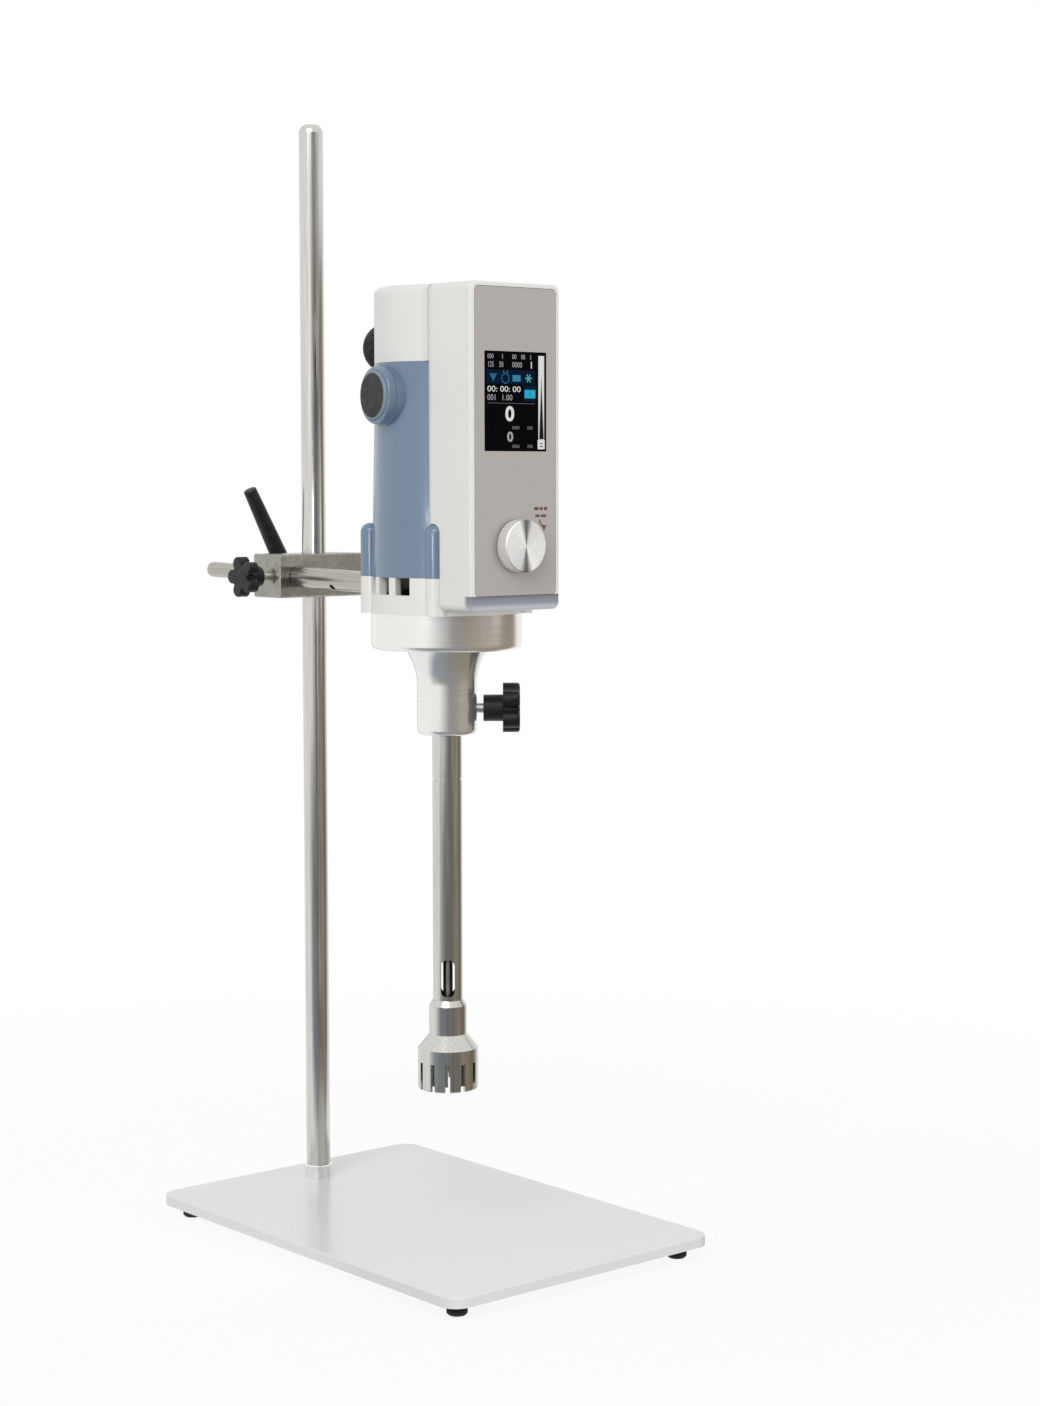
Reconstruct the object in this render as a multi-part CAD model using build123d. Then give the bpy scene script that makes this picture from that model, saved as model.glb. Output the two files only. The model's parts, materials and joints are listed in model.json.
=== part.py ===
from build123d import *
import os
from math import cos, radians, sin, tan

# Rotor-stator homogenizer on a plate stand. Millimetres, +Z up, the user stands at -Y.
# The origin is the centre of the whole machine's footprint, on the bench.

# ---- plate stand ----
plate_length = 310.0
plate_width = 210.0
plate_thickness = 6.5
plate_corner = 12.0
plate_edge = 0.8
foot_height = 8.5
foot_radius = 6.3
foot_inset = 16.0
foot_screw_radius = 2.0
foot_screw_head = 3.6
foot_screw_bite = 3.5
foot_recess = 2.6
foot_screw_lift = 0.8
foot_chamfer = 1.2
rod_radius = 8.0
rod_length = 705.0
rod_setback = 35.6
rod_collar_wall = 1.2
rod_collar_height = 9.5
rod_collar_edge = 0.6
rod_bolt_radius = 4.0
rod_bolt_bite = 22.0
rod_bolt_head = 8.0
rod_bolt_lift = 0.2
rod_bolt_key = 2.5
rod_bolt_key_depth = 3.0

# ---- cross clamp ----
arm_height = 406.5
arm_offset = 24.0
block_depth = 30.0
block_height = 28.5
block_left = 38.7
block_right = 29.0
block_edge = 1.0
screw_radius = 3.0
screw_countersink = 5.5
lever_screw_radius = 4.0
lever_length = 64.0
lever_root_radius = 6.2
lever_tip_radius = 4.4
lever_hub_radius = 8.0
lever_hub_length = 20.0
lever_lean = 28.0
lever_root_place = 15.0
lever_hub_edge = 1.5
lever_tip_edge = 1.2
arm_screw_offset = 6.0
arm_knob_radius = 13.5
arm_knob_thickness = 7.5
arm_knob_hub_radius = 6.5
arm_knob_hub_length = 8.5
arm_knob_reach = 18.5

# ---- support arm ----
arm_radius = 6.75
arm_tail_radius = 5.25
arm_tail = 70.6
arm_spigot_radius = 4.0
arm_spigot_length = 12.0
arm_cross_hole = 2.3
arm_cross_hole_place = 58.0
arm_cross_hole_turn = -45.0
arm_edge = 0.6
arm_pitch = 1.3
arm_stand = 0.2

# ---- motor head, from its lower end upwards ----
head_reach = 170.4
arm_rise = 15.5
collar_height = 22.5
flange_height = 22.0
flange_radius = 46.3
flange_edge = 3.0
taper_height = 22.2
taper_top_radius = 26.3
socket_height = 30.7
socket_radius = 18.6
socket_edge = 3.0
housing_height = 129.1
housing_radius = 43.5
housing_foot_radius = 45.7
housing_flare = 106.0
cap_height = 45.4
cap_edge = 4.5
shell_wall = 2.6
ear_circle = 46.5
ear_radius = 6.3
ear_height = 32.5
ear_spread = 43.0
screw_circle = 41.5
head_screw_radius = 2.0
head_screw_head = 3.5
screw_boss_radius = 5.0
screw_head_depth = 4.5
screw_head_lift = 0.8
screw_key_radius = 1.7
screw_key_depth = 1.8
collar_wall = 5.3
vent_depth = 10.5
vent_angle = 13.0
vent_pitch = 20.0
vent_turn = 4.0
arm_pad_width = 20.0
arm_pad_reach = 53.0
vent_rows = (-1, 0, 1)
rear_vents = (-1.5, 1.5)

# ---- control housing ----
box_width = 69.2
box_rear_width = 73.4
box_reach = 65.6
box_root = 23.4
box_corner = 4.5
box_rim_edge = 2.0
box_rise = 3.5
box_heel = 8.0
box_inner_depth = 4.0
panel_width = 62.8
panel_height = 181.4
panel_top_margin = 2.9
panel_corner = 2.9
panel_thickness = 2.0
panel_seat = 2.5
panel_ledge = 2.5
panel_gap = 0.3
screen_width = 48.0
screen_height = 58.6
screen_drop = 66.8
screen_glass = 1.6
screen_inset = 0.2
screen_corner = 0.6
module_depth = 6.0
module_margin = 2.5
module_corner = 1.0
board_thickness = 1.6
board_width = 54.0
board_margin = 10.0
standoff_inset = 3.0
standoff_radius = 2.6
chip_height = 2.0
knob_radius = 15.6
knob_length = 8.2
knob_gap = 1.4
knob_rise = 29.4
knob_edge = 0.6
knob_flutes = 60
knob_flute_width = 0.8
knob_flute_depth = 0.2
knob_plain_band = 1.0
knob_face = 3.0
knob_recess = 1.6
knob_recess_margin = 1.5
encoder_size = 13.0
encoder_bush_radius = 4.5
encoder_stem_radius = 3.0
encoder_travel = 0.8
encoder_floor = 1.2
encoder_bush_stand = 0.6
encoder_pin_radius = 1.2
encoder_pin_length = 2.4
plunger_length = 2.5

# ---- motor ----
brush_drop = 19.9
brush_angle = 173.5
brush_boss_radius = 17.25
brush_boss_reach = 51.0
brush_pad_radius = 18.2
brush_pad_reach = 45.6
brush_cap_radius = 15.0
brush_cap_thickness = 3.6
brush_cap_recess = 2.0
brush_holder_radius = 7.0
brush_width = 6.0
brush_height = 9.0
brush_length = 18.0
brush_boss_edge = 1.2
brush_cap_edge = 1.8
brush_plug = 2.0
holder_start = 3.0
spring_radius = 2.3
spring_wire = 0.45
spring_turns = 4
core_radius = 35.9
core_wall = 5.0
core_height = 55.0
core_rise = 31.5
rib_half_width = 4.0
pole_half_width = 11.0
coil_wall = 5.0
coil_gap = 1.5
coil_play = 0.5
armature_radius = 17.5
armature_slots = 12
armature_slot_depth = 7.0
armature_slot_width = 2.4
end_winding = 7.0
end_winding_radius = 13.5
air_gap = 0.8
commutator_radius = 12.0
commutator_height = 22.0
commutator_groove = 1.0
commutator_groove_width = 0.6
lower_bore_radius = 5.0
lower_bearing_radius = 13.0
lower_bearing_width = 8.0
lower_bearing_rise = 6.0
upper_bore_radius = 4.0
upper_bearing_radius = 11.0
upper_bearing_width = 7.0
upper_bearing_drop = 2.0
bearing_shield = 0.4
bracket_thickness = 4.0
bracket_window = 9.0
bracket_wall = 3.5
shaft_shoulder = 2.5
shaft_step = 3.0
fan_radius = 35.0
fan_height = 10.0
fan_blades = 9
fan_rise = 4.0
fan_disc = 1.8
fan_hub_radius = 9.0
fan_blade_place = 21.0
fan_blade_length = 26.0
fan_blade_thickness = 1.6
fan_blade_lean = 35.0
coupling_radius = 7.0
coupling_length = 21.5
coupling_slot = 3.2
coupling_sink = 5.0
coupling_web = 10.0
coupling_edge = 0.5
coupling_room = 1.0
tongue_reach = 8.0
inlet_radius = 9.0
inlet_length = 8.0
inlet_cap_radius = 15.5
inlet_cap_length = 29.0
inlet_drop = 34.0
inlet_inside = 4.0
inlet_wall = 1.5
inlet_floor = 2.0
inlet_pin_radius = 1.2
inlet_pin_length = 6.0
inlet_cap_grips = 18
inlet_grip_radius = 1.1
inlet_cap_overlap = 1.0

# ---- dispersing tool ----
tool_reach = 220.8
tube_radius = 9.2
tube_wall = 1.8
tube_engagement = 27.0
window_width = 8.6
window_height = 23.7
window_rise = 57.7
tool_turn = -130.0
groove_drop = 27.6
groove_depth = 0.5
groove_width = 1.4
seal_rise = 6.0
seal_depth = 1.0
seal_width = 2.0
tube_seat_depth = 4.0
stator_radius = 18.8
stator_height = 25.5
stator_cone = 8.7
stator_neck_radius = 11.7
stator_neck = 17.8
stator_neck_chamfer = 2.2
stator_wall = 2.4
stator_slots = 12
stator_slot_width = 2.9
stator_slot_height = 17.2
stator_rim = 0.6
stator_roof = 3.0
tool_shaft_radius = 3.0
rotor_gap = 0.6
rotor_wall = 3.2
rotor_teeth = 6
rotor_slot_width = 5.0
rotor_lift = 3.0
rotor_height = 17.0
rotor_web = 4.0
rotor_hub_wall = 2.5
rotor_hub_drop = 6.0
rotor_hub_rise = 1.5
rotor_shaft_sink = 3.0
bushing_height = 12.0
bushing_margin = 4.0
bushing_drop = 2.0
tongue_foot = 0.6
tongue_width = 10.0
tool_knob_turn = -40.0
tool_knob_radius = 15.8
tool_knob_thickness = 10.5
tool_knob_hub_radius = 8.2
tool_knob_hub_length = 12.0
tool_knob_reach = 22.4
tool_screw_rise = 16.1

# ---- clearances ----
running_gap = 0.03
slide_gap = 0.05
seat_gap = 0.1
free_gap = 0.3
cut = 1.0

# ---- where things are ----
rear_overhang = max(0.0, block_depth / 2 + arm_tail - rod_setback)
plate_y = -rear_overhang / 2
plate_top = foot_height + plate_thickness
rod_y = plate_y + plate_length / 2 - rod_setback
arm_x = -arm_offset
arm_z = plate_top + arm_height
head_y = rod_y - head_reach
pad_face = head_y + arm_pad_reach
block_z = arm_z + (rod_y - pad_face) * tan(radians(arm_pitch))
collar_low = arm_z - arm_rise
collar_high = collar_low + collar_height
flange_low = collar_low - flange_height
taper_low = flange_low - taper_height
socket_low = taper_low - socket_height
tool_low = socket_low - tool_reach
housing_high = collar_high + housing_height
cap_high = housing_high + cap_height
brush_z = housing_high - brush_drop
box_low = collar_low + box_rise
panel_z = cap_high - panel_top_margin - panel_height / 2
screen_z = panel_z + panel_height / 2 - screen_drop
knob_z = panel_z - panel_height / 2 + knob_rise
panel_back = box_reach - panel_thickness
board_front = panel_back - module_depth
inlet_z = cap_high - inlet_drop
tool_screw_z = socket_low + tool_screw_rise
tube_top = socket_low + tube_engagement
coupling_low = tube_top - coupling_sink
coupling_high = coupling_low + coupling_length
tongue_high = coupling_low + tongue_reach
bearing_low = flange_low + lower_bearing_rise
core_low = collar_high + core_rise
upper_bearing_low = housing_high - upper_bearing_drop
bracket_low = housing_high - bracket_thickness
seal_z = socket_low + seal_rise
brush_seat = brush_boss_reach - brush_cap_recess
ear_angles = [ear_spread, 180 - ear_spread, 180 + ear_spread, -ear_spread]
shaft_radius = lower_bore_radius - running_gap
BASE = (Align.CENTER, Align.CENTER, Align.MIN)
TOP = (Align.CENTER, Align.CENTER, Align.MAX)


# ---- small helpers ----
def post(radius, low, high):
    """An upright cylinder on the Z axis between two heights."""
    return Pos(0, 0, low) * Cylinder(radius, high - low, align=BASE)


def ring(outer, inner, low, high):
    """An upright ring on the Z axis."""
    return post(outer, low, high) - post(inner, low - cut, high + cut)


def turned(*outline):
    """A solid turned about Z from (radius, height) points."""
    face = make_face(Polyline(*outline, close=True))
    return revolve(Plane.XZ * face, axis=Axis.Z)


def block(x_span, y_span, z_span):
    """A box between two corners, given as low and high pairs."""
    size = [high - low for low, high in (x_span, y_span, z_span)]
    middle = [(high + low) / 2 for low, high in (x_span, y_span, z_span)]
    return Pos(*middle) * Box(*size)


def spoke(shape, angle, height=0.0):
    """Lay a shape built along +Z out along the radius at an angle, at a height."""
    return Pos(0, 0, height) * Rot(0, 0, angle) * Rot(0, 90, 0) * shape


def on_head(shape):
    """Move a shape built about the Z axis onto the motor's axis."""
    return Pos(arm_x, head_y, 0) * shape


def round_plate(width, height, corner, front, back, middle_z):
    """A rounded rectangle in the XZ plane, between two distances ahead of the axis."""
    sketch = Plane.XZ * RectangleRounded(width, height, corner)
    return Pos(0, -back, middle_z) * extrude(sketch, amount=front - back)


def star_knob(radius, thickness, hub_radius, hub_length, lobes=5):
    """A lobed knob along +Z: its hub first, then the star with rounded edges."""
    star = Circle(radius * 0.62)
    for index in range(lobes):
        angle = radians(index * 360 / lobes + 90)
        offset = radius * 0.66
        star += Pos(offset * cos(angle), offset * sin(angle)) * Circle(radius * 0.34)
    head = extrude(star, amount=thickness)
    head = fillet(head.edges().group_by(Axis.Z)[-1], thickness * 0.16)
    hub = Cylinder(hub_radius, hub_length, align=BASE)
    return hub + Pos(0, 0, hub_length) * head


# ---- stand ----
def feet_places():
    x = plate_width / 2 - foot_inset
    y = plate_length / 2 - foot_inset
    return [(sx * x, plate_y + sy * y) for sx in (-1, 1) for sy in (-1, 1)]


def base_plate():
    outline = RectangleRounded(plate_width, plate_length, plate_corner)
    plate = extrude(outline, amount=plate_thickness)
    plate = fillet(plate.edges().group_by(Axis.Z)[-1], plate_edge)
    plate = Pos(0, plate_y, foot_height) * plate
    for x, y in feet_places():
        plate -= Pos(x, y, 0) * post(foot_screw_radius, foot_height - cut, foot_height + foot_screw_bite)
    sink = turned((0, foot_height - cut), (rod_bolt_head, foot_height - cut), (rod_bolt_head, foot_height),
                  (rod_bolt_radius, foot_height + rod_bolt_head - rod_bolt_radius),
                  (rod_bolt_radius, plate_top + cut), (0, plate_top + cut))
    return plate - Pos(0, rod_y, 0) * sink


def rubber_feet():
    recess = foot_screw_head + slide_gap
    foot = turned((foot_screw_radius, foot_recess), (recess, foot_recess),
                  (recess, 0), (foot_radius - foot_chamfer, 0), (foot_radius, foot_chamfer),
                  (foot_radius, foot_height), (foot_screw_radius, foot_height))
    return [Pos(x, y, 0) * foot for x, y in feet_places()]


def foot_screws():
    top = foot_height + foot_screw_bite
    middle = (foot_screw_lift + foot_recess) / 2
    screw = turned((0, foot_screw_lift), (foot_screw_head - foot_screw_lift, foot_screw_lift),
                   (foot_screw_head, middle), (foot_screw_head, foot_recess),
                   (foot_screw_radius, foot_recess), (foot_screw_radius, top), (0, top))
    return [Pos(x, y, 0) * screw for x, y in feet_places()]


def stand_rod():
    rod = post(rod_radius, plate_top, plate_top + rod_length)
    rod = fillet(rod.edges().group_by(Axis.Z)[-1], rod_radius * 0.7)
    rod -= post(rod_bolt_radius, plate_top - cut, plate_top + rod_bolt_bite)
    return Pos(0, rod_y, 0) * rod


def rod_base_collar():
    outer = rod_radius + rod_collar_wall
    top = plate_top + rod_collar_height
    collar = turned((rod_radius, plate_top), (outer, plate_top), (outer, top - rod_collar_edge),
                    (outer - rod_collar_edge, top), (rod_radius, top))
    return Pos(0, rod_y, 0) * collar


def rod_bolt():
    shoulder = foot_height + rod_bolt_head - rod_bolt_radius
    low = foot_height + rod_bolt_lift
    high = plate_top + rod_bolt_bite - cut
    bolt = turned((0, low), (rod_bolt_head - rod_bolt_lift, low), (rod_bolt_radius, shoulder),
                  (rod_bolt_radius, high), (0, high))
    key = extrude(RegularPolygon(rod_bolt_key, 6), amount=rod_bolt_key_depth)
    return Pos(0, rod_y, 0) * (bolt - Pos(0, 0, foot_height) * key)


# ---- cross clamp ----
def clamp_block():
    low = block_z - block_height / 2
    body = block((-block_left, block_right), (-block_depth / 2, block_depth / 2), (low, low + block_height))
    body = chamfer(body.edges(), block_edge)
    body -= post(rod_radius + slide_gap, low - cut, low + block_height + cut)
    arm_bore = Cylinder(arm_tail_radius + slide_gap, block_depth + 2 * cut)
    body -= Pos(arm_x, 0, block_z) * Rot(90 + arm_pitch, 0, 0) * arm_bore
    lever_bore = Cylinder(lever_screw_radius + slide_gap, block_depth, align=BASE)
    body -= Pos(0, 0, block_z) * Rot(-90, 0, 0) * lever_bore
    side = Pos(arm_x, -arm_screw_offset, block_z) * Rot(0, -90, 0)
    body -= side * Cylinder(screw_radius + slide_gap, block_left, align=BASE)
    sink_depth = screw_countersink - screw_radius
    sink = Cone(screw_radius, screw_countersink, sink_depth, align=BASE)
    body -= side * Pos(0, 0, block_left - arm_offset - sink_depth) * sink
    return Pos(0, rod_y, 0) * body


def rod_clamp_screw():
    start = rod_radius + free_gap
    end = block_depth / 2 + lever_hub_length
    screw = Cylinder(lever_screw_radius, end - start, align=BASE)
    return Pos(0, rod_y + start, block_z) * Rot(-90, 0, 0) * screw


def rod_clamp_lever():
    start = block_depth / 2 + free_gap * 3
    hub = Cylinder(lever_hub_radius, lever_hub_length, align=BASE)
    hub = fillet(hub.edges().group_by(Axis.Z)[-1], lever_hub_edge)
    hub = Rot(-90, 0, 0) * hub
    bar = Cone(lever_root_radius, lever_tip_radius, lever_length, align=BASE)
    bar = fillet(bar.edges().group_by(Axis.Z)[-1], lever_tip_edge)
    lever = hub + Pos(0, lever_root_place, 0) * Rot(0, -lever_lean, 0) * bar
    socket = Cylinder(lever_screw_radius, lever_hub_length - free_gap * 3, align=BASE)
    lever -= Rot(-90, 0, 0) * socket
    return Pos(0, rod_y + start, block_z) * lever


def arm_clamp_screw():
    start = arm_offset + arm_tail_radius + free_gap
    end = block_left + arm_knob_reach
    screw = Cylinder(screw_radius, end - start, align=BASE)
    return Pos(-start, rod_y - arm_screw_offset, block_z) * Rot(0, -90, 0) * screw


def arm_clamp_knob():
    hub_start = block_left + arm_knob_reach - arm_knob_hub_length
    knob = star_knob(arm_knob_radius, arm_knob_thickness, arm_knob_hub_radius, arm_knob_hub_length)
    knob -= Cylinder(screw_radius, arm_knob_hub_length, align=BASE)
    return Pos(-hub_start, rod_y - arm_screw_offset, block_z) * Rot(0, -90, 0) * knob


# ---- support arm ----
def support_arm():
    shoulder = rod_y - block_depth / 2 - free_gap
    tip = rod_y + block_depth / 2 + arm_tail
    spigot = Cylinder(arm_spigot_radius, arm_spigot_length + cut, align=TOP)
    thick = Cylinder(arm_radius, shoulder - pad_face - arm_stand, align=BASE)
    thick = Pos(0, 0, arm_stand) * chamfer(thick.edges(), arm_edge)
    tail = Pos(0, 0, shoulder - pad_face) * Cylinder(arm_tail_radius, tip - shoulder, align=BASE)
    tail = fillet(tail.edges().group_by(Axis.Z)[-1], arm_tail_radius * 0.55)
    hole = Rot(0, 0, arm_cross_hole_turn) * Rot(0, 90, 0) * Cylinder(arm_cross_hole, arm_radius * 3)
    arm = thick + tail - Pos(0, 0, arm_cross_hole_place) * hole
    place = Pos(arm_x, pad_face, arm_z)
    return place * Rot(arm_pitch - 90, 0, 0) * arm + place * Rot(-90, 0, 0) * Pos(0, 0, cut) * spigot


# ---- motor head, turned parts ----
def ear_posts(outer_radius, inner_radius, low, high):
    """The four screw bosses: an outer ear and the boss round the screw behind it."""
    posts = []
    for angle in ear_angles:
        place = Rot(0, 0, angle)
        posts.append(place * Pos(ear_circle, 0, 0) * post(outer_radius, low, high))
        posts.append(place * Pos(screw_circle, 0, 0) * post(inner_radius, low, high))
    return posts


def head_screw_holes(low, high, radius=head_screw_radius):
    return [Rot(0, 0, angle) * Pos(screw_circle, 0, 0) * post(radius, low, high) for angle in ear_angles]


def vent_angles():
    side = [180 - vent_turn + step * vent_pitch for step in vent_rows]
    other_side = [vent_turn + step * vent_pitch for step in vent_rows]
    rear = [90 + step * vent_pitch for step in rear_vents]
    return side + other_side + rear


def vent_collar():
    collar = ring(flange_radius, flange_radius - collar_wall, collar_low, collar_high)
    for part in ear_posts(ear_radius, screw_boss_radius, collar_low, collar_high):
        collar += part
    pad = block((-arm_pad_width / 2, arm_pad_width / 2), (flange_radius - collar_wall, arm_pad_reach),
                (collar_low, collar_high))
    collar += pad
    slot_width = 2 * flange_radius * sin(radians(vent_angle / 2))
    for angle in vent_angles():
        slot = block((flange_radius - 2 * collar_wall, flange_radius + collar_wall),
                     (-slot_width / 2, slot_width / 2), (collar_high - vent_depth, collar_high + cut))
        collar -= Rot(0, 0, angle) * slot
    for hole in head_screw_holes(collar_low - cut, collar_high + cut):
        collar -= hole
    spigot = Cylinder(arm_spigot_radius, arm_spigot_length, align=TOP)
    collar -= Pos(0, arm_pad_reach, arm_z) * Rot(-90, 0, 0) * spigot
    return on_head(collar)


def mounting_flange():
    disc = post(flange_radius, flange_low, collar_low)
    disc = fillet(disc.edges().group_by(Axis.Z)[0], flange_edge)
    foot = (socket_radius, taper_low)
    top = (taper_top_radius, flange_low)
    flare = TangentArc(foot, top, tangent=(0, 1))
    throat = make_face(flare + Polyline(top, (0, flange_low), (0, taper_low), foot))
    flange = disc + revolve(Plane.XZ * throat, axis=Axis.Z)
    flange -= post(coupling_radius + coupling_room, taper_low - cut, bearing_low)
    flange -= post(lower_bearing_radius, bearing_low, collar_low + cut)
    for hole in head_screw_holes(flange_low - cut, collar_low + cut):
        flange -= hole
    sink_high = flange_low + screw_head_depth
    for hole in head_screw_holes(flange_low - cut, sink_high, head_screw_head + seat_gap):
        flange -= hole
    return on_head(flange)


def tool_socket():
    cup = post(socket_radius, socket_low, taper_low)
    cup = fillet(cup.edges().group_by(Axis.Z)[0], socket_edge)
    cup -= post(tube_radius + slide_gap, socket_low - cut, tube_top + free_gap)
    cup -= post(coupling_radius + coupling_room, tube_top, taper_low + cut)
    screw_hole = Cylinder(screw_radius + slide_gap, socket_radius + cut, align=BASE)
    cup -= spoke(screw_hole, tool_knob_turn, tool_screw_z)
    return on_head(cup)


def housing_body(grow=0.0):
    """The blue motor shell's outer form, or the same form grown for a clearance round it."""
    outer = turned((0, collar_high), (housing_foot_radius + grow, collar_high),
                   (housing_radius + grow, collar_high + housing_flare),
                   (housing_radius + grow, housing_high), (0, housing_high))
    for angle in ear_angles:
        ear = post(ear_radius + grow, collar_high, collar_high + ear_height + grow)
        ear = fillet(ear.edges().group_by(Axis.Z)[-1], ear_radius * 0.92)
        outer += Rot(0, 0, angle) * Pos(ear_circle, 0, 0) * ear
    return outer


def motor_housing():
    inner = housing_radius - shell_wall
    shell = housing_body()
    for angle in (brush_angle, brush_angle + 180):
        boss = Cylinder(brush_boss_radius, brush_boss_reach, align=BASE)
        boss = fillet(boss.edges().group_by(Axis.Z)[-1], brush_boss_edge)
        pad = Cylinder(brush_pad_radius, brush_pad_reach, align=BASE)
        shell += spoke(boss + pad, angle, brush_z)
    shell -= post(inner, collar_high - cut, housing_high + cut)
    for angle in ear_angles:
        boss = post(screw_boss_radius, collar_high, collar_high + ear_height * 0.8)
        shell += Rot(0, 0, angle) * Pos(screw_circle, 0, 0) * boss
    for quarter in range(4):
        rib = block((core_radius, inner + cut), (-rib_half_width, rib_half_width),
                    (core_low, core_low + core_height))
        shell += Rot(0, 0, quarter * 90) * rib
    for angle in (brush_angle, brush_angle + 180):
        bore = Cylinder(brush_holder_radius, brush_boss_reach + cut, align=BASE)
        seat = Cylinder(brush_cap_radius + seat_gap, brush_cap_recess + cut, align=BASE)
        shell -= spoke(bore, angle, brush_z)
        shell -= spoke(Pos(0, 0, brush_seat) * seat, angle, brush_z)
    for hole in head_screw_holes(collar_high - cut, collar_high + ear_height * 0.5):
        shell -= hole
    return on_head(shell)


def housing_screws():
    screws = []
    for angle in ear_angles:
        shank = post(head_screw_radius, flange_low + screw_head_depth, collar_high + ear_height * 0.5 - cut)
        head = post(head_screw_head, flange_low + screw_head_lift, flange_low + screw_head_depth)
        key = extrude(RegularPolygon(screw_key_radius, 6), amount=screw_key_depth)
        key = Pos(0, 0, flange_low + screw_head_lift) * key
        screws.append(on_head(Rot(0, 0, angle) * Pos(screw_circle, 0, 0) * (shank + head - key)))
    return screws


# ---- control housing and what it holds ----
def box_form(front, rear, low):
    """A length of the control box, its sides opening out from the front to the rear."""
    slope = (box_rear_width - box_width) / (2 * (box_reach - box_root))
    near = box_width / 2 + (box_reach - front) * slope
    far = box_width / 2 + (box_reach - rear) * slope
    plan = Polyline((-near, -front), (near, -front), (far, -rear), (-far, -rear), close=True)
    return Pos(0, 0, low) * extrude(make_face(plan), amount=cap_high - low)


def long_edges(shape):
    """The edges of a box form that run from its front to its rear."""
    return shape.edges().filter_by(lambda edge: abs(edge.tangent_at(0.5).Y) > 0.9)


def control_housing():
    height = cap_high - box_low
    shell = box_form(box_reach, box_root, box_low)
    shell = fillet(long_edges(shell), box_corner)
    heel = shell.edges().filter_by(Axis.X).sort_by(Axis.Y)[-2:].sort_by(Axis.Z)[0]
    shell = fillet(heel, box_heel)
    shell = fillet(shell.faces().sort_by(Axis.Y)[0].outer_wire().edges(), box_rim_edge)
    cap = post(housing_radius, housing_high, cap_high)
    cap = fillet(cap.edges().group_by(Axis.Z)[-1], cap_edge)
    bridge = box_form(box_root + box_inner_depth, 0, housing_high)
    bridge = fillet(long_edges(bridge).group_by(Axis.Z)[-1], box_corner)
    shell += bridge
    shell += cap
    shell -= housing_body(free_gap)
    shell -= post(flange_radius + free_gap, box_low - cut, collar_high)
    for part in ear_posts(ear_radius + free_gap, screw_boss_radius, box_low - cut, collar_high):
        shell -= part
    inner_width = box_width - 2 * shell_wall
    lip = panel_back - panel_seat
    hollow = round_plate(inner_width, height - 2 * shell_wall, box_corner - shell_wall, lip, 0,
                         (box_low + cap_high) / 2)
    hollow &= block((-box_width, box_width), (-box_reach, -box_root), (box_low, cap_high))
    shell -= hollow
    attic = block((-inner_width / 2, inner_width / 2), (-box_root - cut, 0),
                  (housing_high - cut, cap_high - shell_wall))
    shell -= attic & post(housing_radius, housing_high - cut, cap_high)
    shell -= post(housing_radius - shell_wall, housing_high - cut, cap_high - shell_wall)
    shell -= round_plate(panel_width + 2 * panel_gap, panel_height + 2 * panel_gap, panel_corner + panel_gap,
                         box_reach + cut, panel_back, panel_z)
    shell -= round_plate(panel_width - 2 * panel_ledge, panel_height - 2 * panel_ledge,
                         panel_corner - panel_ledge, panel_back + cut, lip - cut, panel_z)
    hole = Cylinder(inlet_radius + slide_gap, housing_radius + cut, align=BASE)
    shell -= spoke(hole, 90, inlet_z)
    return on_head(shell)


def front_panel():
    panel = round_plate(panel_width, panel_height, panel_corner, box_reach, panel_back, panel_z)
    panel -= round_plate(screen_width + seat_gap, screen_height + seat_gap, screen_corner,
                         box_reach + cut, panel_back - cut, screen_z)
    hole = Cylinder(encoder_bush_radius, panel_thickness + 2 * cut, align=BASE)
    panel -= Pos(0, -panel_back + cut, knob_z) * Rot(90, 0, 0) * hole
    return on_head(panel)


def display_glass():
    face = box_reach - screen_inset
    glass = round_plate(screen_width, screen_height, screen_corner, face, face - screen_glass, screen_z)
    return on_head(glass)


def display_module():
    margin = 2 * module_margin
    module = round_plate(screen_width + margin, screen_height + margin, module_corner,
                         panel_back, board_front, screen_z)
    return on_head(module)


def board_span():
    return knob_z - board_margin, screen_z + screen_height / 2 + board_margin


def control_board():
    low, high = board_span()
    board = block((-board_width / 2, board_width / 2),
                  (-board_front, -board_front + board_thickness), (low, high))
    chip_back = -board_front + board_thickness + chip_height
    for x, z, half in ((-12, screen_z, 7), (10, screen_z - 22, 5), (-8, knob_z + 18, 6)):
        board += block((x - half, x + half), (-board_front, chip_back), (z - half, z + half))
    return on_head(board)


def board_standoffs():
    low, high = board_span()
    x = board_width / 2 - standoff_inset
    posts = []
    for sx in (-1, 1):
        for z in (low + standoff_inset, high - standoff_inset):
            pillar = extrude(RegularPolygon(standoff_radius, 6), amount=module_depth)
            posts.append(on_head(Pos(sx * x, -board_front, z) * Rot(90, 0, 0) * pillar))
    return posts


def encoder_body():
    half = encoder_size / 2
    body = block((-half, half), (-panel_back, -board_front), (knob_z - half, knob_z + half))
    bush = Cylinder(encoder_bush_radius, panel_thickness + encoder_bush_stand, align=BASE)
    body += Pos(0, -panel_back, knob_z) * Rot(90, 0, 0) * bush
    bore = Cylinder(encoder_stem_radius + slide_gap, module_depth + panel_thickness, align=BASE)
    body -= Pos(0, -board_front - encoder_floor, knob_z) * Rot(90, 0, 0) * bore
    return on_head(body)


def encoder_start():
    """How far ahead of the motor's axis the encoder's sliding stem begins."""
    return board_front + encoder_floor + encoder_travel + free_gap


def encoder_plunger():
    plunger = Cylinder(encoder_stem_radius, plunger_length, align=BASE)
    plunger -= Cylinder(encoder_pin_radius + slide_gap, plunger_length, align=BASE)
    return on_head(Pos(0, -encoder_start(), knob_z) * Rot(90, 0, 0) * plunger)


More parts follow.
